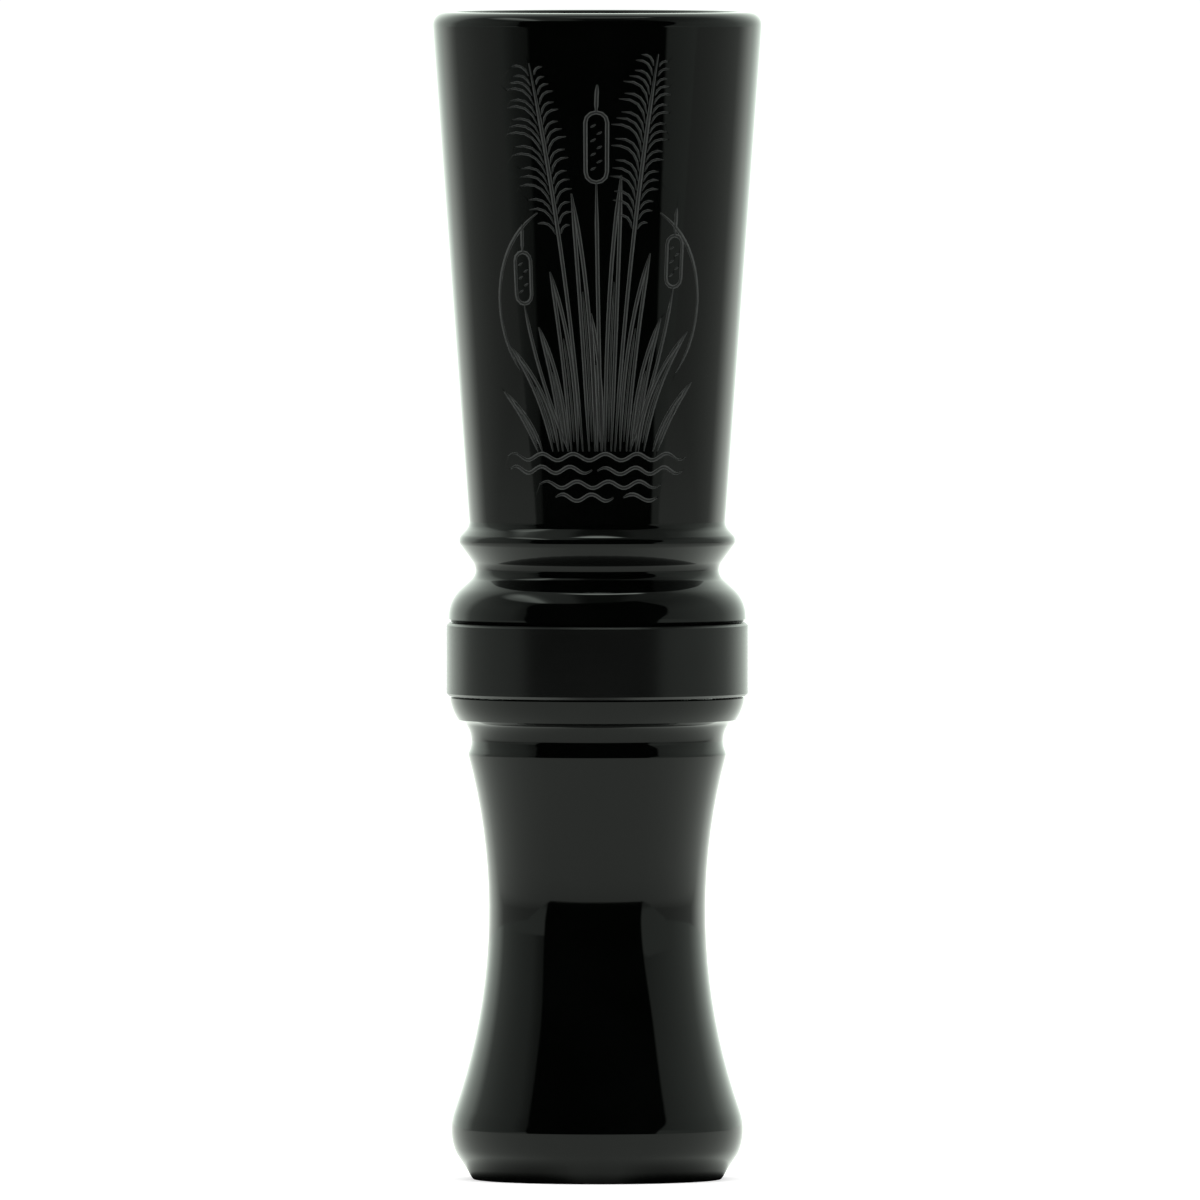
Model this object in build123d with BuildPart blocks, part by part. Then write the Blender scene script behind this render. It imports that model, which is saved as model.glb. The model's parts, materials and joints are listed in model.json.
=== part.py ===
from build123d import *
import os

# A short-reed waterfowl call. A turned barrel and insert meet at a metal band, and the insert's bore
# holds a moulded tone board with a flat reed clamped on it by a wedge.
#
# Millimetres. The origin is the centre of the exhaust face that the call stands on. +Z runs up the
# call's axis to the mouthpiece. -Y is the front, which the reed faces.

# Outside of the insert
foot_radius = 13.5
foot_round = 0.3
foot_bevel_radius = 15.36   # where the foot's bevel meets its bulge
foot_bevel_z = 2.85
waist_radius = 11.8
waist_z = 29.25
waist_low_arc = 65.0        # radii of the long hollow curve below and above the waist
waist_high_arc = 65.0
waist_low_z = 7.55
bead_edge_z = 46.2          # low side of the edge between waist and lanyard groove
bead_edge_height = 0.22
bead_edge_round = 0.38
insert_neck_radius = 13.73  # bottom of the insert's lanyard groove
insert_neck_z = 48.0
ledge_z = 49.75
ledge_radius = 14.5
shoulder_under_radius = 15.15
shoulder_under_z = 50.0
shoulder_middle = (15.68, 51.0)     # a point halfway along the shoulder's rounded side
shoulder_radius = 16.05
shoulder_z = 52.5
shoulder_edge = 0.12

# Outside of the barrel, with its band
overall_length = 127.0
seat_gap = 0.1              # left between the insert's shoulder and the barrel
band_radius = 16.37
band_height = 7.95
bulb_radius = 16.22
bulb_corner_z = 63.05       # where the bulb's side would meet the groove's slope
bulb_round = 4.2
groove_radius = 12.8        # corner of the lanyard groove before it is rounded
groove_z = 66.13
groove_round = 1.4
bead_radius = 15.33         # corner of the bead before it is rounded
bead_z = 69.61
bead_round = 0.9
cone_foot_radius = 13.93
cone_foot_z = 71.1
cone_foot_round = 1.2
mouth_radius = 18.05        # corner of the mouthpiece before it is rounded
rim_round = 1.45
crest_radius = 15.9         # inner edge of the mouthpiece's rim
dish_depth = 4.4            # from the rim down to the bore's mouth
dish_middle = (12.7, 2.8)   # a point halfway down the dish: radius, and depth below the rim
crest_round = 0.6
dish_foot_round = 0.8

# Joint between barrel and insert
bore_radius = 9.525
bore_edge = 0.35            # bevel that leads the tenon in
spigot_radius = 13.3        # the barrel's end, turned down to carry the band
band_edge = 0.28
bulb_edge_inset = 0.45      # the bulb's lower edge leans back from the band, so a dark line shows
bulb_edge_height = 0.4
tenon_radius = 9.42
tenon_length = 21.0
tenon_groove_radius = 8.3
tenon_groove_width = 2.1
tenon_ring_offsets = (5.6, 14.8)
tenon_edge = 0.4

# Insert's bores
exhaust_mouth_radius = 9.4
exhaust_mouth_round = 0.9
exhaust_mouth_slope = 0.25  # how fast the flare widens at the mouth
exhaust_throat_radius = 5.2
exhaust_throat_length = 4.0
guts_bore_radius = 7.145
guts_bore_depth = 22.0

# Guts: tone board, reed and wedge
guts_radius = 7.05
guts_length = 65.0
guts_groove_radius = 6.0
guts_groove_width = 2.0
guts_ring_offset = 4.5
guts_edge = 0.35            # bevel round the tone board's base
pocket_radius = 5.85        # half-moon pocket that holds the reed's tail and the wedge
pocket_floor = 12.5         # above the tone board's base
hood_top = 24.0
bed_y = -0.5                # flat reed bed
bed_bend = 32.0             # above this the bed curves away from the reed
bed_drop = 1.8              # how far it has curved away at the tip
bend_half_width = 6.75      # the board's half width at the bend and at its rounded tip
tip_half_width = 5.9
tip_round = 3.6
channel_end = 57.0
channel_low = (1.4, 3.4)    # y and radius of the sound channel at its two ends
channel_high = (1.5, 2.2)
reed_width = 11.0
reed_thickness = 0.3
reed_tip_round = 3.4
reed_tail_clip = 1.0
reed_tail = 12.8
reed_tip = 64.0
wedge_bottom = 12.8
wedge_top = 31.5
wedge_nose_start = 25.0
wedge_nose_y = -2.0

# Clearances
ring_clearance = 0.03       # between a seal ring and what it seals against
ring_side_clearance = 0.1
wedge_clearance = 0.05
slip = 0.02

tenon_top = shoulder_z + tenon_length
barrel_bottom = shoulder_z + seat_gap
band_top = barrel_bottom + band_height
bulb_bottom = band_top + slip
guts_seat = tenon_top - guts_bore_depth
guts_base = guts_seat + slip

os.makedirs("parts", exist_ok=True)


def arc_rise(radius, along):
    """How far a circular arc has risen, this far along from where it ran level."""
    return radius - (radius**2 - along**2) ** 0.5


def circles_of(part, radius):
    """The part's circular edges of one radius."""
    circles = part.edges().filter_by(GeomType.CIRCLE)
    return circles.filter_by(lambda edge: abs(edge.radius - radius) < 0.005)


def corner_at(outline, height):
    """The outermost corner of a turned outline at one height along the call."""
    corners = outline.vertices().filter_by(lambda corner: abs(corner.Y - height) < 0.001)
    return corners.sort_by(Axis.X)[-1]


def seal_ring(inner, outer, width, z):
    """A seal ring, squeezed to an oval section between two radii."""
    with BuildPart() as ring:
        with BuildSketch(Plane.XZ):
            with Locations(((inner + outer) / 2, z)):
                Ellipse((outer - inner) / 2, width / 2)
        revolve(axis=Axis.Z)
    return ring.part


def save(part, name):
    part.label = name
    export_step(part, f"parts/{name}.step")


# Insert: flared foot, waist, lanyard groove, shoulder and tenon
with BuildPart() as insert:
    with BuildSketch(Plane.XZ):
        with BuildLine():
            waist_low = (waist_radius + arc_rise(waist_low_arc, waist_z - waist_low_z), waist_low_z)
            bead_edge_radius = waist_radius + arc_rise(waist_high_arc, bead_edge_z - waist_z)
            neck_low_z = bead_edge_z + bead_edge_height
            TangentArc((waist_radius, waist_z), (bead_edge_radius, bead_edge_z), tangent=(0, 1))
            waist = TangentArc((waist_radius, waist_z), waist_low, tangent=(0, -1))
            bulge = TangentArc(waist @ 1, (foot_bevel_radius, foot_bevel_z), tangent=waist % 1)
            Polyline(bulge @ 1, (foot_radius, 0), (0, 0), (0, tenon_top), (tenon_radius, tenon_top),
                     (tenon_radius, shoulder_z), (shoulder_radius - shoulder_edge, shoulder_z),
                     (shoulder_radius, shoulder_z - shoulder_edge))
            ThreePointArc((shoulder_radius, shoulder_z - shoulder_edge), shoulder_middle,
                          (shoulder_under_radius, shoulder_under_z))
            Line((shoulder_under_radius, shoulder_under_z), (ledge_radius, ledge_z))
            ThreePointArc((ledge_radius, ledge_z), (insert_neck_radius, insert_neck_z),
                          (bead_edge_radius, neck_low_z))
            Line((bead_edge_radius, neck_low_z), (bead_edge_radius, bead_edge_z))
        make_face()
    revolve(axis=Axis.Z)
    with Locations((0, 0, tenon_top)):
        CounterBoreHole(exhaust_throat_radius, guts_bore_radius, guts_bore_depth)
    # The exhaust widens from the throat to its mouth in one long curve
    throat_low = guts_seat - exhaust_throat_length
    with BuildSketch(Plane.XZ):
        with BuildLine():
            flare = Spline(
                (exhaust_throat_radius, throat_low), (exhaust_mouth_radius, 0),
                tangents=((0, -1), (exhaust_mouth_slope, -1)),
            )
            Polyline(flare @ 1, (0, 0), (0, throat_low), flare @ 0)
        make_face()
    revolve(axis=Axis.Z, mode=Mode.SUBTRACT)
    # Seal ring grooves
    with BuildSketch(Plane.XZ):
        with Locations(*[(tenon_radius, shoulder_z + offset) for offset in tenon_ring_offsets]):
            Rectangle(2 * (tenon_radius - tenon_groove_radius), tenon_groove_width)
    revolve(axis=Axis.Z, mode=Mode.SUBTRACT)
    fillet(circles_of(insert, exhaust_mouth_radius), radius=exhaust_mouth_round)
    fillet(circles_of(insert, foot_radius), radius=foot_round)
    fillet(circles_of(insert, bead_edge_radius), radius=bead_edge_round)
    chamfer(insert.edges().group_by(Axis.Z)[-1], length=tenon_edge)

# Barrel: spigot for the band, bulb, lanyard groove, bead, cone and dished mouthpiece
with BuildPart() as barrel:
    with BuildSketch(Plane.XZ) as outline:
        with BuildLine():
            Polyline(
                (0, barrel_bottom), (spigot_radius, barrel_bottom), (spigot_radius, bulb_bottom),
                (bulb_radius - bulb_edge_inset, bulb_bottom), (bulb_radius, bulb_bottom + bulb_edge_height),
                (bulb_radius, bulb_corner_z), (groove_radius, groove_z), (bead_radius, bead_z),
                (cone_foot_radius, cone_foot_z), (mouth_radius, overall_length), (0, overall_length),
                close=True,
            )
        make_face()
        rounds = {
            bulb_corner_z: bulb_round,
            groove_z: groove_round,
            bead_z: bead_round,
            cone_foot_z: cone_foot_round,
        }
        for corner_z, size in rounds.items():
            fillet(corner_at(outline, corner_z), radius=size)
        fillet(corner_at(outline, overall_length), radius=rim_round)
    revolve(axis=Axis.Z)
    with Locations((0, 0, overall_length)):
        Hole(bore_radius)
    # The mouthpiece is dished down to the bore
    with BuildSketch(Plane.XZ):
        with BuildLine():
            dish = ThreePointArc(
                (bore_radius, overall_length - dish_depth),
                (dish_middle[0], overall_length - dish_middle[1]),
                (crest_radius, overall_length),
            )
            Polyline(dish @ 1, (0, overall_length), (0, overall_length - dish_depth), dish @ 0)
        make_face()
    revolve(axis=Axis.Z, mode=Mode.SUBTRACT)
    fillet(circles_of(barrel, crest_radius), radius=crest_round)
    fillet(circles_of(barrel, bore_radius).sort_by(Axis.Z)[-1], radius=dish_foot_round)
    chamfer(circles_of(barrel, bore_radius).sort_by(Axis.Z)[0], length=bore_edge)

# Band: plain ring bonded on the barrel's spigot
with BuildPart() as band:
    with BuildSketch(Plane.XY.offset(barrel_bottom)):
        Circle(band_radius)
        Circle(spigot_radius + slip, mode=Mode.SUBTRACT)
    extrude(amount=band_height)
    chamfer(circles_of(band, band_radius), length=band_edge)

# Tone board: round base, hooded pocket, curved reed bed and sound channel
with BuildPart() as tone_board:
    guts_tip = guts_base + guts_length
    hood_z = guts_base + hood_top
    bend_z = guts_base + bed_bend
    with BuildSketch(Plane.XY.offset(guts_base)):
        Circle(guts_radius)
    extrude(amount=guts_length)
    # The front above the hood is cut away down to the reed bed
    with BuildSketch(Plane.YZ):
        with BuildLine():
            free = guts_tip - bend_z
            bed_arc = free**2 / (2 * bed_drop)
            curve = ThreePointArc(
                (bed_y, bend_z), (bed_y + arc_rise(bed_arc, free / 2), bend_z + free / 2),
                (bed_y + arc_rise(bed_arc, free), guts_tip),
            )
            Polyline(
                curve @ 1, (-guts_radius - 1, guts_tip), (-guts_radius - 1, hood_z), (bed_y, hood_z),
                curve @ 0,
            )
        make_face()
    extrude(amount=guts_radius + 1, both=True, mode=Mode.SUBTRACT)
    # Half-moon pocket under the hood
    with BuildSketch(Plane.XY.offset(guts_base + pocket_floor)):
        Circle(pocket_radius)
        with Locations((0, bed_y)):
            Rectangle(
                3 * pocket_radius, 3 * pocket_radius,
                align=(Align.CENTER, Align.MIN), mode=Mode.SUBTRACT,
            )
    extrude(amount=hood_top - pocket_floor, mode=Mode.SUBTRACT)
    # Sound channel, narrowing to a round end short of the tip
    with BuildSketch(Plane.XY.offset(guts_base)):
        with Locations((0, channel_low[0])):
            Circle(channel_low[1])
    with BuildSketch(Plane.XY.offset(guts_base + channel_end)):
        with Locations((0, channel_high[0])):
            Circle(channel_high[1])
    loft(mode=Mode.SUBTRACT)
    # Seen from the front the board narrows to a rounded tip
    with BuildSketch(Plane.XZ) as plan:
        with BuildLine():
            half = guts_radius + 1
            Polyline(
                (-half, guts_base), (half, guts_base), (half, hood_z), (bend_half_width, bend_z),
                (tip_half_width, guts_tip), (-tip_half_width, guts_tip),
                (-bend_half_width, bend_z), (-half, hood_z),
                close=True,
            )
        make_face()
        fillet(plan.vertices().group_by(Axis.Y)[-1], radius=tip_round)
    extrude(amount=half, both=True, mode=Mode.INTERSECT)
    with BuildSketch(Plane.XZ):
        with Locations((guts_radius, guts_base + guts_ring_offset)):
            Rectangle(2 * (guts_radius - guts_groove_radius), guts_groove_width)
    revolve(axis=Axis.Z, mode=Mode.SUBTRACT)
    chamfer(circles_of(tone_board, guts_radius).sort_by(Axis.Z)[0], length=guts_edge)

# Reed: thin flat strip with clipped tail corners and a rounded tip
with BuildPart() as reed:
    with BuildSketch(Plane.XZ.offset(-bed_y + slip)) as strip:
        with Locations((0, guts_base + reed_tail)):
            Rectangle(reed_width, reed_tip - reed_tail, align=(Align.CENTER, Align.MIN))
        fillet(strip.vertices().group_by(Axis.Y)[-1], radius=reed_tip_round)
        chamfer(strip.vertices().group_by(Axis.Y)[0], length=reed_tail_clip)
    extrude(amount=reed_thickness)

# Wedge: half-moon plug with a sloping nose
with BuildPart() as wedge:
    flat_y = bed_y - 2 * slip - reed_thickness
    wedge_radius = pocket_radius - wedge_clearance
    with BuildSketch(Plane.XY.offset(guts_base + wedge_bottom)):
        Circle(wedge_radius)
        with Locations((0, flat_y)):
            Rectangle(
                3 * wedge_radius, 3 * wedge_radius,
                align=(Align.CENTER, Align.MIN), mode=Mode.SUBTRACT,
            )
    extrude(amount=wedge_top - wedge_bottom)
    with BuildSketch(Plane.YZ):
        with BuildLine():
            Polyline(
                (-wedge_radius - 1, guts_base + wedge_nose_start), (wedge_nose_y, guts_base + wedge_top),
                (wedge_nose_y, guts_base + wedge_top + 1), (-wedge_radius - 1, guts_base + wedge_top + 1),
                close=True,
            )
        make_face()
    extrude(amount=wedge_radius + 1, both=True, mode=Mode.SUBTRACT)

side_gaps = 2 * ring_side_clearance
tenon_ring = (
    tenon_groove_radius + ring_clearance,
    bore_radius - ring_clearance,
    tenon_groove_width - side_gaps,
)
guts_ring = (
    guts_groove_radius + ring_clearance,
    guts_bore_radius - ring_clearance,
    guts_groove_width - side_gaps,
)

save(insert.part, "insert")
save(barrel.part, "barrel")
save(band.part, "band")
save(tone_board.part, "tone_board")
save(reed.part, "reed")
save(wedge.part, "wedge")
save(seal_ring(*tenon_ring, shoulder_z + tenon_ring_offsets[0]), "tenon_o_ring_lower")
save(seal_ring(*tenon_ring, shoulder_z + tenon_ring_offsets[1]), "tenon_o_ring_upper")
save(seal_ring(*guts_ring, guts_base + guts_ring_offset), "guts_o_ring")
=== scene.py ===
import json
import math

import bpy
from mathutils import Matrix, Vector
from mathutils.geometry import delaunay_2d_cdt
from mathutils.kdtree import KDTree

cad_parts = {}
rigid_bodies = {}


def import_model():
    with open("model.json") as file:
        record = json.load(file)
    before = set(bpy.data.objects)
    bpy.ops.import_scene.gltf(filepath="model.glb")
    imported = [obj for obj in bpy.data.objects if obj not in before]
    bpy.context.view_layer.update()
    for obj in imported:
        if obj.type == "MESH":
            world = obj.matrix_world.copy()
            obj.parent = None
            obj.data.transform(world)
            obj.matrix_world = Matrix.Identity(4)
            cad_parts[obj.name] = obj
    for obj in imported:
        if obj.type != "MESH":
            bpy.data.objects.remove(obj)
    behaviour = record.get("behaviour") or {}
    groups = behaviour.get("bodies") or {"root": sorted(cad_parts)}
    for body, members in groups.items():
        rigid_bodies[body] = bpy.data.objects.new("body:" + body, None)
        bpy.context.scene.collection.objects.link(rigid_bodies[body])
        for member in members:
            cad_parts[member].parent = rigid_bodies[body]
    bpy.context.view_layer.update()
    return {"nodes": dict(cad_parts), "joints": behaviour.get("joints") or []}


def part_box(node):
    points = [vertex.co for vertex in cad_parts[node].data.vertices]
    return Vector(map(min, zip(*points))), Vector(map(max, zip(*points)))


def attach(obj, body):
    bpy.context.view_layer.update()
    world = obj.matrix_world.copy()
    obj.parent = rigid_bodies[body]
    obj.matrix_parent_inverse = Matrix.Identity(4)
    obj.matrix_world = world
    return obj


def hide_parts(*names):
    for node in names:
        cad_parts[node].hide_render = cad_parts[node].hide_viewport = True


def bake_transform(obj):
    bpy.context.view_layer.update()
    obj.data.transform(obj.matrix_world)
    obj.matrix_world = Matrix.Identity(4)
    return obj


# Looks for a turned waterfowl call: gloss black acrylic, a satin black metal band, and the moulded
# guts inside. The frame is in metres. The engraving is drawn in millimetres, as an engraver would.

for leftover in list(bpy.data.objects):
    bpy.data.objects.remove(leftover)

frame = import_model()
nodes = frame["nodes"]

MM = 0.001

# Engraving, in millimetres
STROKE = 0.42               # width of a cut line
FINE_STROKE = 0.26
CUT_WALL = 0.13             # the cut's sloping sides, seen square on
CUT_DEPTH = 0.14
WATER_Z = 79.5              # height of the water's edge up the call
STEP_MM = 0.9               # length of one piece of a curve

# The cone's new faces
COLUMN_DEGREES = 2
ROW_MM = 3.0
WELD_MM = 0.003             # corners of the cuts nearer than this become one
JOIN_DISTANCE = 1e-6        # metres
RING_DIGITS = 6             # decimal places, in metres, that tell a turned piece's rings apart
ANGLE_DIGITS = 5            # the same for the points of one ring, in radians
FLAT_DIGITS = 5             # and for the unrolled cone's points, in millimetres
CREASE = math.cos(math.radians(35))     # faces that meet at a sharper angle than this keep their edge
ON_CONE = 2e-6              # metres off the cone's line within which a corner is on it

# Camera and table, in metres
CAMERA_DISTANCE = 4.0
CAMERA_HEIGHT = 0.176
AIM = (0.0003, 0.0, 0.06301)
LENS_MM = 1104
TABLE_HALF_WIDTH = 1.5
TABLE_FRONT = 0.27          # from the call towards the camera, to the table's edge
TABLE_ROUND = 0.42          # and to its edge right in front, which is bowed
TABLE_LIFT = 0.3            # thins the shadow on the table

# Tent. Angles are in degrees round from the camera; right, up and towards run from -1 to 1
PEAK = 2.0                  # the brightest that the tent gets; its ramps run from 0 to this
SKIRTING_GLOW = 0.42
WALL_DIMMING = 0.5          # how much of the walls' light is lost high up
OPENING_HALF_WIDTH = 52.5
OPENING_SPREAD = 16.0       # how much wider each side of the opening gets upwards
OPENING_SHIFT = 5.0         # how far off centre the opening is near the horizon
ARCH_POWER = 1.8
ARCH_NARROWING = 1.1
CEILING_SLANT = 0.12
LAMP_LINE = 0.13            # where the strip lamp crosses overhead, towards the camera
LAMP_BOW = 1.4
LAMP_GLOW = 3.2
TENT_TINT = (0.90, 1.0, 0.91)
TABLE_TINT = (0.93, 1.0, 0.92)
PLAIN_WHITE = (1.05, 1.05, 1.05, 1)
SOFT_LAMP_TARGET = (0, 0, 0.06)


# ---------------------------------------------------------------- node helpers


def new_material(name):
    """An empty node material, its tree and its Principled shader."""
    material = bpy.data.materials.new(name)
    material.use_nodes = True
    tree = material.node_tree
    return material, tree, tree.nodes["Principled BSDF"]


def add(tree, kind, **settings):
    node = tree.nodes.new(kind)
    for key, value in settings.items():
        setattr(node, key, value)
    return node


def feed(tree, socket, value):
    """Links value into socket if it is another node's output, and otherwise sets it."""
    if isinstance(value, bpy.types.NodeSocket):
        tree.links.new(value, socket)
    else:
        socket.default_value = value


def maths(tree, operation, *values):
    node = add(tree, "ShaderNodeMath", operation=operation)
    for socket, value in zip(node.inputs, values):
        feed(tree, socket, value)
    return node.outputs[0]


def times(tree, a, b):
    return maths(tree, "MULTIPLY", a, b)


def plus(tree, a, b):
    return maths(tree, "ADD", a, b)


def minus(tree, a, b):
    return maths(tree, "SUBTRACT", a, b)


def noise(tree, vector, scale, detail=4.0, roughness=0.5):
    node = add(tree, "ShaderNodeTexNoise")
    feed(tree, node.inputs["Vector"], vector)
    node.inputs["Scale"].default_value = scale
    node.inputs["Detail"].default_value = detail
    node.inputs["Roughness"].default_value = roughness
    return node.outputs["Fac"]


def ramp(tree, factor, stops):
    """A smooth colour ramp through (position, value) greys or (position, (r, g, b)) colours."""
    node = add(tree, "ShaderNodeValToRGB")
    elements = node.color_ramp.elements
    while len(elements) < len(stops):
        elements.new(0.5)
    for element, (position, value) in zip(elements, stops):
        element.position = position
        shade = (value,) * 3 if isinstance(value, (int, float)) else value
        element.color = (*shade, 1)
    feed(tree, node.inputs["Fac"], factor)
    return node.outputs["Color"]


def between(tree, factor, low, high):
    """A value that runs from low to high as factor runs from 0 to 1."""
    node = add(tree, "ShaderNodeMapRange")
    feed(tree, node.inputs["Value"], factor)
    node.inputs["To Min"].default_value = low
    node.inputs["To Max"].default_value = high
    return node.outputs["Result"]


def soft_step(tree, value, start, end):
    """0 before start and 1 past end, with a soft change between them."""
    node = add(tree, "ShaderNodeMapRange", interpolation_type="SMOOTHSTEP")
    feed(tree, node.inputs["Value"], value)
    node.inputs["From Min"].default_value = start
    node.inputs["From Max"].default_value = end
    return node.outputs["Result"]


def levels(tree, value, stops):
    """A brightness that runs through (value, brightness) stops."""
    first, last = stops[0][0], stops[-1][0]
    share = add(tree, "ShaderNodeMapRange")
    feed(tree, share.inputs["Value"], value)
    share.inputs["From Min"].default_value = first
    share.inputs["From Max"].default_value = last
    shades = ramp(tree, share.outputs["Result"], [
        ((at - first) / (last - first), brightness / PEAK) for at, brightness in stops
    ])
    return times(tree, shades, PEAK)


def blend_colours(tree, factor, a, b):
    node = add(tree, "ShaderNodeMix", data_type="RGBA")
    feed(tree, node.inputs["Factor"], factor)
    feed(tree, node.inputs["A"], a)
    feed(tree, node.inputs["B"], b)
    return node.outputs["Result"]


def tinted(tree, brightness, tint):
    """A colour: this tint, as bright as brightness says."""
    node = add(tree, "ShaderNodeVectorMath", operation="SCALE")
    node.inputs[0].default_value = tint
    feed(tree, node.inputs["Scale"], brightness)
    return node.outputs["Vector"]


def bump(tree, height, strength, distance):
    node = add(tree, "ShaderNodeBump")
    node.inputs["Strength"].default_value = strength
    node.inputs["Distance"].default_value = distance
    feed(tree, node.inputs["Height"], height)
    return node.outputs["Normal"]


def place(tree, stretch=(1, 1, 1)):
    """Object coordinates, in metres, stretched along each axis."""
    coordinates = add(tree, "ShaderNodeTexCoord")
    mapping = add(tree, "ShaderNodeMapping")
    mapping.inputs["Scale"].default_value = stretch
    tree.links.new(coordinates.outputs["Object"], mapping.inputs["Vector"])
    return mapping.outputs["Vector"]


# ---------------------------------------------------------------- materials


def gloss_acrylic():
    """Polished black acrylic: faint depth in the colour, and fine polishing haze."""
    material, tree, shader = new_material("gloss_black_acrylic")
    haze = noise(tree, place(tree), 90, detail=6)
    rings = noise(tree, place(tree, (30, 30, 2600)), 1.0, detail=3)
    scuffs = noise(tree, place(tree, (420, 420, 60)), 1.0, detail=8, roughness=0.7)
    feed(tree, shader.inputs["Base Color"], ramp(tree, haze, [
        (0.3, (0.0003, 0.0004, 0.0003)), (0.7, (0.0007, 0.0009, 0.0008))]))
    worn = times(tree, haze, scuffs)
    feed(tree, shader.inputs["Roughness"], between(tree, worn, 0.02, 0.07))
    shader.inputs["IOR"].default_value = 1.49
    feed(tree, shader.inputs["Normal"], bump(tree, rings, 0.05, 0.00001))
    return material


def engraved_acrylic(name, dark, light):
    """Acrylic that the engraver has left frosted. A darker copy of it, painted shade, serves for the
    floor of a cut.
    """
    material, tree, shader = new_material(name)
    grain = noise(tree, place(tree), 9000, detail=3)
    feed(tree, shader.inputs["Base Color"], ramp(tree, grain, [
        (0.25, (dark * 0.92, dark, dark * 0.94)), (0.75, (light * 0.92, light, light * 0.94))]))
    feed(tree, shader.inputs["Roughness"], between(tree, grain, 0.42, 0.7))
    feed(tree, shader.inputs["Normal"], bump(tree, grain, 0.5, 0.00002))
    return material


def satin_anodised():
    """Black anodised metal, with the turning lines left by the lathe."""
    material, tree, shader = new_material("satin_black_anodised")
    lines = noise(tree, place(tree, (12, 12, 9000)), 1.0, detail=3)
    cloud = noise(tree, place(tree), 140, detail=5)
    feed(tree, shader.inputs["Base Color"], ramp(tree, cloud, [
        (0.3, (0.0009, 0.0012, 0.0010)), (0.7, (0.0017, 0.0021, 0.0019))]))
    feed(tree, shader.inputs["Roughness"], between(tree, lines, 0.22, 0.28))
    shader.inputs["IOR"].default_value = 1.49
    feed(tree, shader.inputs["Normal"], bump(tree, lines, 0.05, 0.000005))
    return material


def seal_rubber():
    material, tree, shader = new_material("seal_rubber")
    bloom = noise(tree, place(tree), 900, detail=5)
    grain = noise(tree, place(tree), 6000, detail=2)
    feed(tree, shader.inputs["Base Color"], ramp(tree, bloom, [
        (0.3, (0.011, 0.011, 0.011)), (0.75, (0.028, 0.028, 0.027))]))
    feed(tree, shader.inputs["Roughness"], between(tree, bloom, 0.45, 0.72))
    feed(tree, shader.inputs["Normal"], bump(tree, grain, 0.25, 0.00001))
    return material


def moulded_plastic(name, dark, light, gloss):
    """Moulded plastic with a fine spark-eroded texture and slight flow clouding."""
    material, tree, shader = new_material(name)
    flow = noise(tree, place(tree, (260, 260, 70)), 1.0, detail=5)
    grain = noise(tree, place(tree), 5200, detail=2)
    feed(tree, shader.inputs["Base Color"], ramp(tree, flow, [(0.3, dark), (0.7, light)]))
    feed(tree, shader.inputs["Roughness"], between(tree, grain, gloss, gloss + 0.18))
    feed(tree, shader.inputs["Normal"], bump(tree, grain, 0.2, 0.00001))
    return material


def reed_film():
    """Frosted translucent film."""
    material, tree, shader = new_material("reed_film")
    frost = noise(tree, place(tree, (900, 900, 3000)), 1.0, detail=4)
    feed(tree, shader.inputs["Base Color"], ramp(tree, frost, [
        (0.3, (0.60, 0.64, 0.63)), (0.7, (0.74, 0.77, 0.76))]))
    feed(tree, shader.inputs["Roughness"], between(tree, frost, 0.26, 0.44))
    shader.inputs["Subsurface Weight"].default_value = 0.25
    shader.inputs["Subsurface Radius"].default_value = (0.0006, 0.0006, 0.0006)
    feed(tree, shader.inputs["Normal"], bump(tree, frost, 0.15, 0.000006))
    return material


def paint(node, material):
    """Gives a CAD node its finish, and leaves its mesh alone."""
    nodes[node].data.materials.clear()
    nodes[node].data.materials.append(material)


# ---------------------------------------------------------------- engraving, drawn flat

# A cut line is (points, width, closed), with its points in (across, up) millimetres.


def bezier(start, pull, end):
    """Points along a curve from start to end that is pulled towards one point."""
    steps = max(4, round(math.dist(start, end) / STEP_MM))
    points = []
    for step in range(steps + 1):
        t = step / steps
        points.append(tuple(
            (1 - t) ** 2 * a + 2 * t * (1 - t) * b + t * t * c for a, b, c in zip(start, pull, end)
        ))
    return points


def arc(centre, radius, first, last):
    """Points round part of a circle, from one angle to another in degrees."""
    steps = max(6, round(math.radians(abs(last - first)) * radius / STEP_MM))
    points = []
    for step in range(steps + 1):
        turn = math.radians(first + (last - first) * step / steps)
        points.append((centre[0] + radius * math.cos(turn), centre[1] + radius * math.sin(turn)))
    return points


def leaf(foot_x, tip_x, height, bow, width):
    """A blade of marsh grass: two edges that meet at its tip, and a shorter midrib."""
    belly, rib_share = 0.58, 0.6    # where it bows most, and how far its midrib runs
    tip = (tip_x, WATER_Z + height)
    middle = ((foot_x + tip_x) / 2 + bow, WATER_Z + belly * height)
    lines = []
    for side in (-width, width):
        edge = bezier((foot_x + side * 0.5, WATER_Z), (middle[0] + side, middle[1]), tip)
        lines.append((edge, STROKE, False))
    rib = bezier((foot_x, WATER_Z), middle, tip)
    lines.append((rib[1:round(rib_share * len(rib))], FINE_STROKE, False))
    return lines


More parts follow.
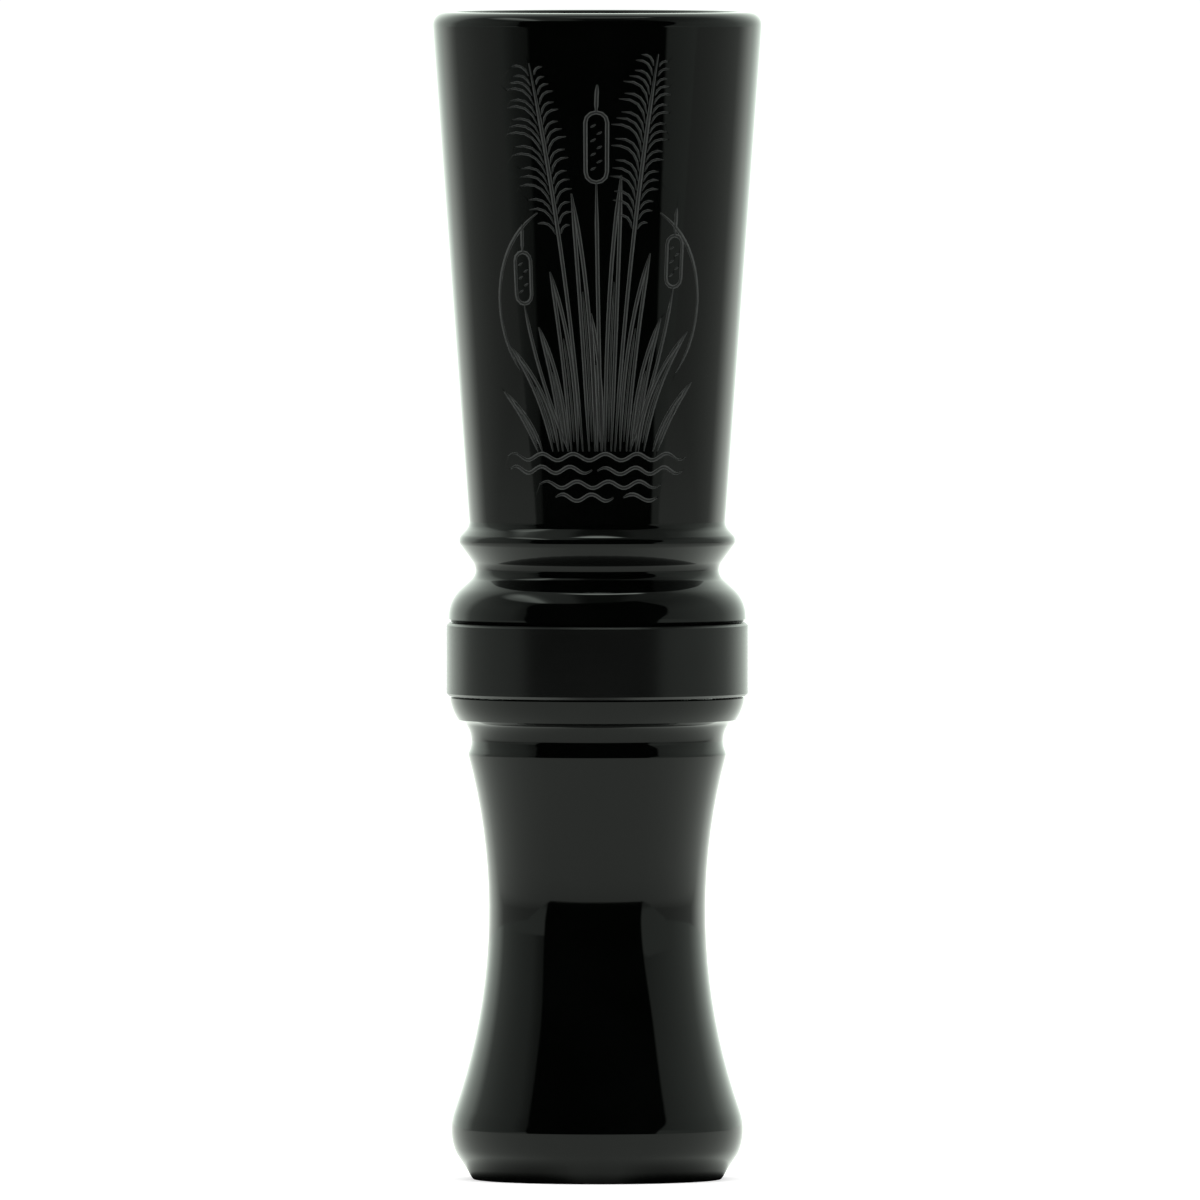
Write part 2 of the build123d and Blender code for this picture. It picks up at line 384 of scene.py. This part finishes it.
def cattail(foot_x, head_x, height, length, width):
    """A cattail: stem, flecked head and the spike above it."""
    spike = 3.0
    fleck_gap, fleck_aside, fleck_half, fleck_rise = 0.75, 0.32, 0.28, 0.16
    middle = WATER_Z + height
    radius = width / 2
    shoulder = length / 2 - radius
    stem_pull = (0.25 * foot_x + 0.75 * head_x, WATER_Z + height * 0.45)
    head = arc((head_x, middle + shoulder), radius, 0, 180)
    head += arc((head_x, middle - shoulder), radius, 180, 360)
    tip = middle + length / 2
    lines = [
        (bezier((foot_x, WATER_Z), stem_pull, (head_x, middle - length / 2)), STROKE, False),
        (head, STROKE, True),
        (bezier((head_x, tip), (head_x, tip + spike / 2), (head_x + 0.1, tip + spike)), STROKE, False),
    ]
    rows = round((length - width) / fleck_gap)
    for row in range(rows):
        z = middle - shoulder + 2 * shoulder * (row + 0.5) / rows
        x = head_x + (fleck_aside if row % 2 else -fleck_aside)
        fleck = [(x - fleck_half, z - fleck_rise), (x, z), (x + fleck_half, z + fleck_rise)]
        lines.append((fleck, FINE_STROKE, False))
    return lines


def plume(foot_x, tip, bow, lean, barbs, reach):
    """A reed plume: a bowed stem whose upper part carries swept barbs, longer on its lean side."""
    bare = 0.56                             # share of the stem below the first barb
    short_side = 0.6
    sweep, spread, droop = 0.62, 0.68, 0.10     # of a barb's end, as shares of its length
    foot = (foot_x, WATER_Z)
    middle = ((foot_x + tip[0]) / 2 + bow, (WATER_Z + tip[1]) / 2)
    stem = [Vector(point) for point in bezier(foot, middle, tip)]
    lines = [([tuple(point) for point in stem], STROKE, False)]
    first = bare * (len(stem) - 1)
    for barb in range(barbs):
        share = barb / (barbs - 1)
        at = first + share * (len(stem) - 2.5 - first)
        low, high = stem[int(at)], stem[int(at) + 1]
        root = low.lerp(high, at % 1)
        along = (high - low).normalized()
        swell = math.sin(math.pi * (0.22 + 0.62 * share))
        for side, most in ((lean, reach), (-lean, short_side * reach)):
            length = most * swell * (0.88 + 0.24 * ((barb * 3) % 5) / 4)
            out = Vector((along.y, -along.x)) * side
            start = root + out * 0.3
            pull = start + along * sweep * length + out * 0.12 * length
            end = start + along * sweep * length + out * spread * length - Vector((0, droop * length))
            lines.append((bezier(tuple(start), tuple(pull), tuple(end)), FINE_STROKE, False))
    return lines


def ripple(centre_x, half, depth, waves):
    """A wavy line of water."""
    wave_height = 0.36
    steps = 10 * waves
    points = []
    for step in range(steps + 1):
        share = step / steps
        x = centre_x - half + 2 * half * share
        points.append((x, WATER_Z - depth + wave_height * math.sin(share * waves * math.tau)))
    return (points, STROKE, False)


def marsh_motif():
    """A low sun behind marsh grass, cattails and reed plumes, over water."""
    lines = []
    for first, last in ((124, 217), (-39, 56)):
        lines.append((arc((0.2, 95.5), 11.9, first, last), STROKE, False))
    for foot_x, tip_x, height, bow, width in (
        (-0.6, -2.7, 28.0, 0.5, 0.7), (1.3, 2.5, 30.0, -0.3, 0.7),
        (-2.7, -5.2, 19.5, 0.8, 0.75), (3.1, 5.8, 21.5, -0.8, 0.75),
        (-3.8, -6.7, 13.5, 0.8, 0.6), (4.3, 7.3, 14.5, -0.8, 0.6),
        (-5.0, -10.6, 11.5, 1.8, 0.7), (5.3, 10.9, 13.0, -2.0, 0.7),
        (-7.0, -11.8, 6.5, 1.0, 0.55), (7.1, 11.9, 7.5, -1.0, 0.55),
        (0.3, -0.7, 15.0, 0.3, 0.55),
    ):
        lines += leaf(foot_x, tip_x, height, bow, width)
    lines += plume(-1.7, (-6.9, 121.6), 0.9, -1, 17, 4.8)
    lines += plume(2.1, (6.1, 122.6), -0.7, -1, 18, 4.6)
    for foot_x, head_x, height, length, width in (
        (0.5, -0.1, 33.0, 7.6, 2.2), (-3.4, -8.4, 18.8, 5.6, 1.9), (3.9, 8.7, 20.6, 5.6, 1.9),
    ):
        lines += cattail(foot_x, head_x, height, length, width)
    for centre_x, half, depth, waves in (
        (0.0, 11.6, 0.6, 6), (-6.0, 5.4, 2.0, 3), (5.6, 5.6, 2.1, 3), (0.4, 7.6, 3.6, 4),
        (-1.6, 3.6, 5.0, 2), (5.4, 2.2, 5.0, 1),
    ):
        lines.append(ripple(centre_x, half, depth, waves))
    return lines


def ribbon(points, width, closed):
    """The quads of a flat line of this width that follows the points. An open line's ends thin out."""
    count = len(points)
    left, right = [], []
    for i, (x, z) in enumerate(points):
        before = points[i - 1] if closed or i > 0 else points[i]
        after = points[(i + 1) % count] if closed or i < count - 1 else points[i]
        along = Vector((after[0] - before[0], after[1] - before[1])).normalized()
        half = width / 2
        if not closed:
            share = min(i, count - 1 - i) / (count - 1)
            half *= min(1.0, 0.4 + 4 * share)
        left.append((x - along.y * half, z + along.x * half))
        right.append((x + along.y * half, z - along.x * half))
    last = count if closed else count - 1
    return [(right[i], right[(i + 1) % count], left[(i + 1) % count], left[i]) for i in range(last)]


# ---------------------------------------------------------------- barrel with its engraving


# The cut floor's finish is a darker copy of the cut walls' frosted acrylic: painted shade.
PLAIN_FINISH, CUT_WALL_FINISH, SHADED_CUT_FLOOR_FINISH = range(3)


class Skin:
    """Faces whose corners each carry their own normal. Corners that meet are joined when it's built."""

    def __init__(self):
        self.corners = []
        self.normals = []
        self.sizes = []
        self.finishes = []

    def face(self, corners, normals, finish=PLAIN_FINISH):
        self.corners.extend(tuple(corner) for corner in corners)
        self.normals.extend(tuple(normal) for normal in normals)
        self.sizes.append(len(corners))
        self.finishes.append(finish)

    def build(self, name, materials):
        places = sorted(set(self.corners))
        tree = KDTree(len(places))
        for i, spot in enumerate(places):
            tree.insert(spot, i)
        tree.balance()
        joined = {
            spot: min(found[1] for found in tree.find_range(spot, JOIN_DISTANCE)) for spot in places
        }
        faces, normals, finishes = [], [], []
        first = 0
        for size, finish in zip(self.sizes, self.finishes):
            indices = [joined[corner] for corner in self.corners[first:first + size]]
            if len(set(indices)) == size:
                faces.append(indices)
                normals.extend(self.normals[first:first + size])
                finishes.append(finish)
            first += size
        used = sorted({i for face in faces for i in face})
        renumbered = {old: new for new, old in enumerate(used)}
        mesh = bpy.data.meshes.new(name)
        faces = [[renumbered[i] for i in face] for face in faces]
        mesh.from_pydata([places[i] for i in used], [], faces)
        for material in materials:
            mesh.materials.append(material)
        mesh.polygons.foreach_set("material_index", finishes)
        mesh.polygons.foreach_set("use_smooth", [True] * len(faces))
        mesh.update()
        mesh.normals_split_custom_set(normals)
        piece = bpy.data.objects.new(name, mesh)
        bpy.context.scene.collection.objects.link(piece)
        return piece


def profile_normal(face):
    """A turned face's normal as (outward, upward)."""
    outward = face.normal.xy.dot(face.center.xy.normalized())
    return Vector((outward, face.normal.z)).normalized()


def turned_faces(mesh):
    """Each face of a turned piece with its corners and their normals.

    A ring's corners share one tilt, averaged over the faces that meet there without a crease.
    """
    def ring_of(spot):
        return (round(spot.z, RING_DIGITS), round(spot.xy.length, RING_DIGITS))

    around, shared = {}, {}
    for face in mesh.polygons:
        for i in face.vertices:
            around.setdefault(ring_of(mesh.vertices[i].co), []).append((profile_normal(face), face.area))

    def tilt_at(ring, tilt):
        key = (ring, round(tilt.x, 2), round(tilt.y, 2))
        if key not in shared:
            total = Vector((0, 0))
            for other, area in around[ring]:
                if other.dot(tilt) > CREASE:
                    total += other * area
            shared[key] = total.normalized() if total.length > 0 else tilt
        return shared[key]

    for face in mesh.polygons:
        corners = [mesh.vertices[i].co for i in face.vertices]
        own = profile_normal(face)
        normals = []
        for corner in corners:
            tilt = tilt_at(ring_of(corner), own)
            out = corner.xy.normalized() * tilt.x
            normals.append((out.x, out.y, tilt.y))
        yield corners, normals


def turned_piece(node, body, material):
    """A turned CAD node's own faces, shaded as truly round."""
    skin = Skin()
    for corners, normals in turned_faces(nodes[node].data):
        skin.face(corners, normals)
    piece = skin.build(f"{node}_turned", [material])
    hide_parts(node)
    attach(piece, body)
    return piece


def taper_through(mesh, height):
    """The outer cone at this height: its profile's normal, and that line's distance from the origin."""
    def crosses(face):
        heights = [mesh.vertices[i].co.z for i in face.vertices]
        return min(heights) < height < max(heights)

    sample = max(filter(crosses, mesh.polygons), key=lambda face: face.center.xy.length)
    spots = [mesh.vertices[i].co for i in sample.vertices]
    profile = [Vector((spot.xy.length, spot.z)) for spot in spots]
    low, high = min(profile, key=lambda point: point.y), max(profile, key=lambda point: point.y)
    along = (high - low).normalized()
    tilt = Vector((along.y, -along.x))
    return tilt, tilt.dot(low)


def ring_at(spots, height):
    """A ring's points by their angle round from the front. The one nearest the back is at both ends."""
    ring = {}
    for spot in spots:
        if abs(spot.z - height) < JOIN_DISTANCE:
            ring[round(math.atan2(spot.x, -spot.y), ANGLE_DIGITS)] = spot
    back = ring[max(ring, key=abs)]
    ring = {turn: spot for turn, spot in ring.items() if (spot - back).length > JOIN_DISTANCE}
    ring[-math.pi] = ring[math.pi] = back
    return ring


def engraved_cone(skin, spots, rise):
    """Refaces the cone through these points, with the motif cut into its front as real grooves.

    It's triangulated flat, in millimetres across and up, and then rolled up. rise is the upward part
    of the cone's normal.
    """
    low_z, high_z = min(spot.z for spot in spots), max(spot.z for spot in spots)
    low_ring, high_ring = ring_at(spots, low_z), ring_at(spots, high_z)
    low_radius = low_ring[math.pi].xy.length
    slope = (high_ring[math.pi].xy.length - low_radius) / (high_z - low_z)
    unroll = (low_radius + high_ring[math.pi].xy.length) / 2 / MM
    level = math.sqrt(1 - rise * rise)

    flat, index, known = [], {}, {}

    def flat_point(across, up):
        key = (round(across, FLAT_DIGITS), round(up, FLAT_DIGITS))
        if key not in index:
            index[key] = len(flat)
            flat.append(Vector(key))
        return index[key]

    edges = []
    for ring, z in ((low_ring, low_z), (high_ring, high_z)):
        row = []
        for turn in sorted(ring):
            i = flat_point(turn * unroll, z / MM)
            known[tuple(flat[i])] = ring[turn]
            row.append(i)
        edges += zip(row, row[1:])
    rows = round((high_z - low_z) / (ROW_MM * MM))
    for j in range(1, rows):
        up = (low_z + (high_z - low_z) * j / rows) / MM
        for degrees in range(-180, 181, COLUMN_DEGREES):
            flat_point(math.radians(degrees) * unroll, up)
    outlines, floors = [], []
    for points, width, closed in marsh_motif():
        outlines += ribbon(points, width, closed)
        floors += ribbon(points, max(0.3 * width, width - 2 * CUT_WALL), closed)
    quads = [[flat_point(*corner) for corner in quad] for quad in outlines + floors]
    flat, _, faces, _, _, cut_by = delaunay_2d_cdt(flat, edges, quads, 0, WELD_MM)
    is_floor = [any(quad >= len(outlines) for quad in over) for over in cut_by]
    deep = {i for face, floor in zip(faces, is_floor) if floor for i in face}

    def rolled(i):
        spot = known.get(tuple(flat[i]))
        if spot is not None:
            return tuple(spot)
        turn, z = flat[i].x / unroll, flat[i].y * MM
        radius = low_radius + slope * (z - low_z) - (CUT_DEPTH * MM if i in deep else 0.0)
        return (radius * math.sin(turn), -radius * math.cos(turn), z)

    def smooth_normal(i):
        turn = flat[i].x / unroll
        return (level * math.sin(turn), -level * math.cos(turn), rise)

    for face, over, floor in zip(faces, cut_by, is_floor):
        corners = [rolled(i) for i in face]
        if over and not floor:
            a, b, c = (Vector(corner) for corner in corners)
            skin.face(corners, [(b - a).cross(c - a).normalized()] * 3, CUT_WALL_FINISH)
        else:
            # Floors of the cut take the darker finish, which is painted shade.
            finish = SHADED_CUT_FLOOR_FINISH if floor else PLAIN_FINISH
            skin.face(corners, [smooth_normal(i) for i in face], finish)


def barrel_piece(finishes):
    """The barrel's own CAD faces, with its cone refaced so that it carries the engraving."""
    mesh = nodes["barrel"].data
    low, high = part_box("barrel")
    tilt, offset = taper_through(mesh, (low.z + high.z) / 2)
    skin = Skin()
    taper = []
    for corners, normals in turned_faces(mesh):
        misses = [abs(tilt.dot(Vector((corner.xy.length, corner.z))) - offset) for corner in corners]
        if max(misses) < ON_CONE:
            taper += corners
        else:
            skin.face(corners, normals)
    engraved_cone(skin, taper, tilt.y)
    piece = skin.build("barrel_engraved", finishes)
    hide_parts("barrel")
    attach(piece, "barrel")
    return piece


# ---------------------------------------------------------------- reed


def reed_piece(material):
    """The reed as a finely divided strip."""
    low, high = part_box("reed")
    half = high.x
    tip_round = 3.4 * MM
    clip = 1.0 * MM
    steps, across = 96, 8

    def half_width(z):
        from_tip = high.z - z
        if from_tip < tip_round:
            return half - tip_round + math.sqrt(max(0.0, tip_round**2 - (tip_round - from_tip) ** 2))
        return half - max(0.0, clip - (z - low.z))

    shares = [(1 - math.cos(math.pi * i / steps)) / 2 for i in range(steps + 1)]
    heights = [low.z + (high.z - low.z) * share for share in shares]
    points, faces = [], []
    for y in (low.y, high.y):
        for z in heights:
            for i in range(across + 1):
                points.append((half_width(z) * (2 * i / across - 1), y, z))
    row = across + 1
    layer = row * len(heights)
    for j in range(steps):
        for i in range(across):
            a = j * row + i
            faces.append((a, a + 1, a + 1 + row, a + row))
            faces.append((layer + a, layer + a + row, layer + a + row + 1, layer + a + 1))
        a, b = j * row, j * row + across
        faces.append((a, a + row, layer + a + row, layer + a))
        faces.append((b, layer + b, layer + b + row, b + row))
    for j in (0, steps):
        for i in range(across):
            a = j * row + i
            face = (a, layer + a, layer + a + 1, a + 1)
            faces.append(face if j == 0 else face[::-1])
    mesh = bpy.data.meshes.new("reed_strip")
    mesh.from_pydata(points, [], faces)
    mesh.materials.append(material)
    mesh.update()
    piece = bpy.data.objects.new("reed_strip", mesh)
    bpy.context.scene.collection.objects.link(piece)
    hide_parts("reed")
    flex = next(joint for joint in frame["joints"] if joint["name"] == "reed_flex")
    _, flex_y, flex_z = flex["pos_m"]
    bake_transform(piece)
    return piece


# ---------------------------------------------------------------- studio


def tent_directions(tree, direction):
    """A direction's parts as the camera sees them: angle round from the camera, right, up, towards.

    They turn with the camera, so the tent looks the same from every side.
    """
    turned = add(tree, "ShaderNodeVectorTransform", vector_type="VECTOR", convert_from="WORLD",
                 convert_to="CAMERA")
    tree.links.new(direction, turned.inputs["Vector"])
    split = add(tree, "ShaderNodeSeparateXYZ")
    tree.links.new(turned.outputs["Vector"], split.inputs["Vector"])
    right, up, ahead = split.outputs
    towards = maths(tree, "MULTIPLY", ahead, -1.0)
    angle = maths(tree, "DEGREES", maths(tree, "ARCTAN2", right, towards))
    return angle, right, up, towards


def wall_glow(tree, angle, up):
    """The tent's walls: bright behind the call, dim in front, with a paler skirting at their foot."""
    walls = levels(tree, angle, [
        (-180, 1.95), (-160, 1.85), (-144, 1.45), (-127, 1.08), (-117, 0.50), (-100, 0.41),
        (-86, 0.35), (-72, 0.30), (-62, 0.16), (-50, 0.09), (0, 0.09), (50, 0.26), (72, 0.36),
        (100, 0.48), (114, 0.56), (121, 0.76), (136, 1.2), (152, 1.65), (180, 1.95),
    ])
    skirting_top = levels(tree, angle, [
        (-180, 0.012), (0, 0.012), (55, 0.075), (110, 0.025), (180, 0.012),
    ])
    skirting = soft_step(tree, minus(tree, up, skirting_top), 0.005, -0.005)
    skirting = times(tree, skirting, soft_step(tree, up, -0.10, -0.06))
    walls = maths(tree, "MAXIMUM", walls, times(tree, skirting, SKIRTING_GLOW))
    dimmer = minus(tree, 1.0, times(tree, soft_step(tree, up, 0.35, 0.85), WALL_DIMMING))
    return times(tree, walls, dimmer)


def outside_opening(tree, angle, up):
    """0 in the dark opening that the camera looks through, and 1 outside it. Its top is an arch."""
    near_horizon = times(tree, soft_step(tree, up, 0.3, 0.0), soft_step(tree, up, -0.15, -0.02))
    aside = maths(tree, "ABSOLUTE", plus(tree, angle, times(tree, near_horizon, OPENING_SHIFT)))
    half_width = plus(tree, OPENING_HALF_WIDTH, times(tree, up, OPENING_SPREAD))
    arch = maths(tree, "POWER", soft_step(tree, up, 0.45, 1.05), ARCH_POWER)
    arched = times(tree, aside, plus(tree, 1.0, times(tree, arch, ARCH_NARROWING)))
    return soft_step(tree, maths(tree, "DIVIDE", arched, half_width), 0.98, 1.04)


def ceiling_glow(tree, right):
    """The ceiling, which is brightest over the left wall and dark in the middle."""
    return levels(tree, right, [
        (-1.0, 0.8), (-0.72, 0.95), (-0.66, 1.25), (-0.60, 1.9), (-0.56, 1.9), (-0.51, 0.65),
        (-0.45, 0.36), (-0.25, 0.32), (-0.17, 0.14), (-0.1, 0.07), (0.2, 0.07), (0.32, 0.17),
        (0.60, 0.20), (0.66, 0.38), (0.72, 0.52), (1.0, 0.55),
    ])


def strip_lamp(tree, right, up, towards):
    """A narrow, bowed lamp that hangs across the ceiling."""
    bow = times(tree, times(tree, right, right), LAMP_BOW)
    off_strip = maths(tree, "ABSOLUTE", minus(tree, plus(tree, towards, bow), LAMP_LINE))
    lamp = times(tree, soft_step(tree, off_strip, 0.04, 0.02), soft_step(tree, up, 0.85, 0.90))
    lamp = times(tree, lamp, soft_step(tree, right, -0.32, -0.08))
    lamp = times(tree, lamp, soft_step(tree, right, 0.36, 0.28))
    return times(tree, lamp, LAMP_GLOW)


def studio_world():
    """A white tent with a dark opening that the camera looks through.

    Only mirror-like rays see the tent. The camera sees plain white, and matt surfaces get even light.
    """
    world = bpy.data.worlds.new("tent")
    bpy.context.scene.world = world
    world.use_nodes = True
    tree = world.node_tree
    coordinates = add(tree, "ShaderNodeTexCoord")
    angle, right, up, towards = tent_directions(tree, coordinates.outputs["Generated"])
    walls = times(tree, wall_glow(tree, angle, up), outside_opening(tree, angle, up))
    slant = minus(tree, up, times(tree, right, CEILING_SLANT))
    over_call = soft_step(tree, towards, -0.35, -0.05)
    overhead = times(tree, soft_step(tree, slant, 0.76, 0.81), over_call)
    inside = add(tree, "ShaderNodeMix", data_type="FLOAT")
    feed(tree, inside.inputs["Factor"], overhead)
    feed(tree, inside.inputs["A"], walls)
    feed(tree, inside.inputs["B"], ceiling_glow(tree, right))
    tent = plus(tree, inside.outputs["Result"], strip_lamp(tree, right, up, towards))
    path = add(tree, "ShaderNodeLightPath")
    plain = plus(tree, path.outputs["Is Camera Ray"], path.outputs["Is Diffuse Ray"])
    shade = blend_colours(tree, plain, tinted(tree, tent, TENT_TINT), PLAIN_WHITE)
    feed(tree, tree.nodes["Background"].inputs["Color"], shade)


def table_glow(tree, angle, from_middle):
    """How bright the table looks in the gloss, by angle and by millimetres from the middle.

    It is painted as lit by the tent, with a painted contact shadow where the call stands on it and
    painted shade far away in front.
    """
    aside = maths(tree, "ABSOLUTE", angle)
    lit = levels(tree, aside, [
        (0, 0.60), (50, 0.62), (72, 0.68), (90, 0.76), (112, 0.90), (124, 1.04), (140, 1.36),
        (160, 1.62), (180, 1.75),
    ])
    # Painted contact shadow: darker where the call stands on the table, and deeper off to the sides.
    painted_contact_shadow = levels(tree, from_middle, [
        (13.4, 0.06), (14.2, 0.36), (14.8, 0.66), (17.0, 1.0), (30.0, 1.0),
    ])
    shadow_deepening = plus(tree, 1.0, times(tree, soft_step(tree, aside, 30, 100), 2.3))
    painted_contact_shadow = maths(tree, "POWER", painted_contact_shadow, shadow_deepening)
    # Painted shade: darker far away in front.
    far = levels(tree, from_middle, [(60, 1.0), (230, 0.95), (430, 0.8), (620, 0.45)])
    far = maths(tree, "MAXIMUM", far, soft_step(tree, aside, 100, 140))
    return times(tree, times(tree, lit, painted_contact_shadow), far)


def table_top():
    """A pale table.

    Mirror-like rays see a glow painted as the tent's lit floor would look, with a painted contact
    shadow. They pass through it beyond its front edge, which turns with the camera as the tent does.
    """
    corners = [(x, y, 0.0) for x, y in ((-1, -1), (1, -1), (1, 1), (-1, 1))]
    corners = [tuple(part * TABLE_HALF_WIDTH for part in corner) for corner in corners]
    mesh = bpy.data.meshes.new("table_top")
    mesh.from_pydata(corners, [], [(0, 1, 2, 3)])
    mesh.update()
    material, tree, shader = new_material("pale_table")
    paper = noise(tree, place(tree), 60, detail=5)
    feed(tree, shader.inputs["Base Color"], ramp(tree, paper, [(0.3, 0.95), (0.7, 0.97)]))
    shader.inputs["Roughness"].default_value = 0.9
    shader.inputs["Specular IOR Level"].default_value = 0.0
    shader.inputs["Emission Color"].default_value = (1, 1, 1, 1)
    shader.inputs["Emission Strength"].default_value = TABLE_LIFT

    geometry = add(tree, "ShaderNodeNewGeometry")
    away = add(tree, "ShaderNodeVectorMath", operation="SCALE")
    tree.links.new(geometry.outputs["Incoming"], away.inputs[0])
    away.inputs["Scale"].default_value = -1.0
    angle, *_ = tent_directions(tree, away.outputs["Vector"])
    spot = place(tree)
    reach = add(tree, "ShaderNodeVectorMath", operation="LENGTH")
    tree.links.new(spot, reach.inputs[0])
    from_middle = maths(tree, "DIVIDE", reach.outputs["Value"], MM)
    glow = add(tree, "ShaderNodeEmission")
    feed(tree, glow.inputs["Color"], tinted(tree, table_glow(tree, angle, from_middle), TABLE_TINT))

    *_, towards = tent_directions(tree, spot)
    in_front = soft_step(tree, towards, TABLE_FRONT - 0.004, TABLE_FRONT)
    outside = soft_step(tree, reach.outputs["Value"], TABLE_ROUND - 0.006, TABLE_ROUND)
    glass = add(tree, "ShaderNodeBsdfTransparent")
    floor = add(tree, "ShaderNodeMixShader")
    feed(tree, floor.inputs[0], times(tree, in_front, outside))
    tree.links.new(glow.outputs[0], floor.inputs[1])
    tree.links.new(glass.outputs[0], floor.inputs[2])
    path = add(tree, "ShaderNodeLightPath")
    seen = add(tree, "ShaderNodeMixShader")
    feed(tree, seen.inputs[0], path.outputs["Is Glossy Ray"])
    tree.links.new(shader.outputs[0], seen.inputs[1])
    tree.links.new(floor.outputs[0], seen.inputs[2])
    tree.links.new(seen.outputs[0], tree.nodes["Material Output"].inputs["Surface"])
    mesh.materials.append(material)
    table = bpy.data.objects.new("table_top", mesh)
    bpy.context.scene.collection.objects.link(table)


def soft_lamps():
    """Two broad lamps that model the matt pieces. They leave no hard shapes in the gloss."""
    for side in (-1, 1):
        data = bpy.data.lights.new("soft_lamp", "AREA")
        data.shape = "RECTANGLE"
        data.size, data.size_y = 0.9, 1.2
        data.energy = 7
        lamp = bpy.data.objects.new("soft_lamp", data)
        lamp.location = (side * 1.1, -0.5, 1.0)
        lamp.rotation_mode = "QUATERNION"
        lamp.rotation_quaternion = (Vector(SOFT_LAMP_TARGET) - lamp.location).to_track_quat("-Z", "Y")
        lamp.visible_glossy = False
        lamp.visible_camera = False
        bpy.context.scene.collection.objects.link(lamp)


def camera():
    data = bpy.data.cameras.new("camera")
    data.lens = LENS_MM
    data.sensor_width = 36
    data.clip_end = 20
    eye = bpy.data.objects.new("camera", data)
    eye.location = (AIM[0], -CAMERA_DISTANCE, CAMERA_HEIGHT)
    eye.rotation_mode = "QUATERNION"
    eye.rotation_quaternion = (Vector(AIM) - eye.location).to_track_quat("-Z", "Y")
    bpy.context.scene.collection.objects.link(eye)
    bpy.context.scene.camera = eye


# ---------------------------------------------------------------- the call

gloss = gloss_acrylic()
cut_wall = engraved_acrylic("engraved_acrylic_wall", 0.025, 0.060)
# The floor of the cut gets a far darker colour than its walls: painted shade at the bottom of the
# groove.
shaded_cut_floor = engraved_acrylic("engraved_acrylic_floor_painted_shade", 0.004, 0.012)
rubber = seal_rubber()

turned_piece("insert", "insert", gloss)
turned_piece("band", "barrel", satin_anodised())
paint("tone_board",
      moulded_plastic("board_plastic", (0.030, 0.031, 0.033), (0.048, 0.049, 0.052), 0.34))
paint("wedge",
      moulded_plastic("wedge_plastic", (0.55, 0.53, 0.47), (0.66, 0.64, 0.58), 0.38))
for ring in ("tenon_o_ring_lower", "tenon_o_ring_upper", "guts_o_ring"):
    paint(ring, rubber)
barrel_piece([gloss, cut_wall, shaded_cut_floor])
reed_piece(reed_film())

studio_world()
table_top()
soft_lamps()
camera()

bpy.context.scene.view_settings.view_transform = "Standard"
bpy.context.scene.view_settings.look = "None"
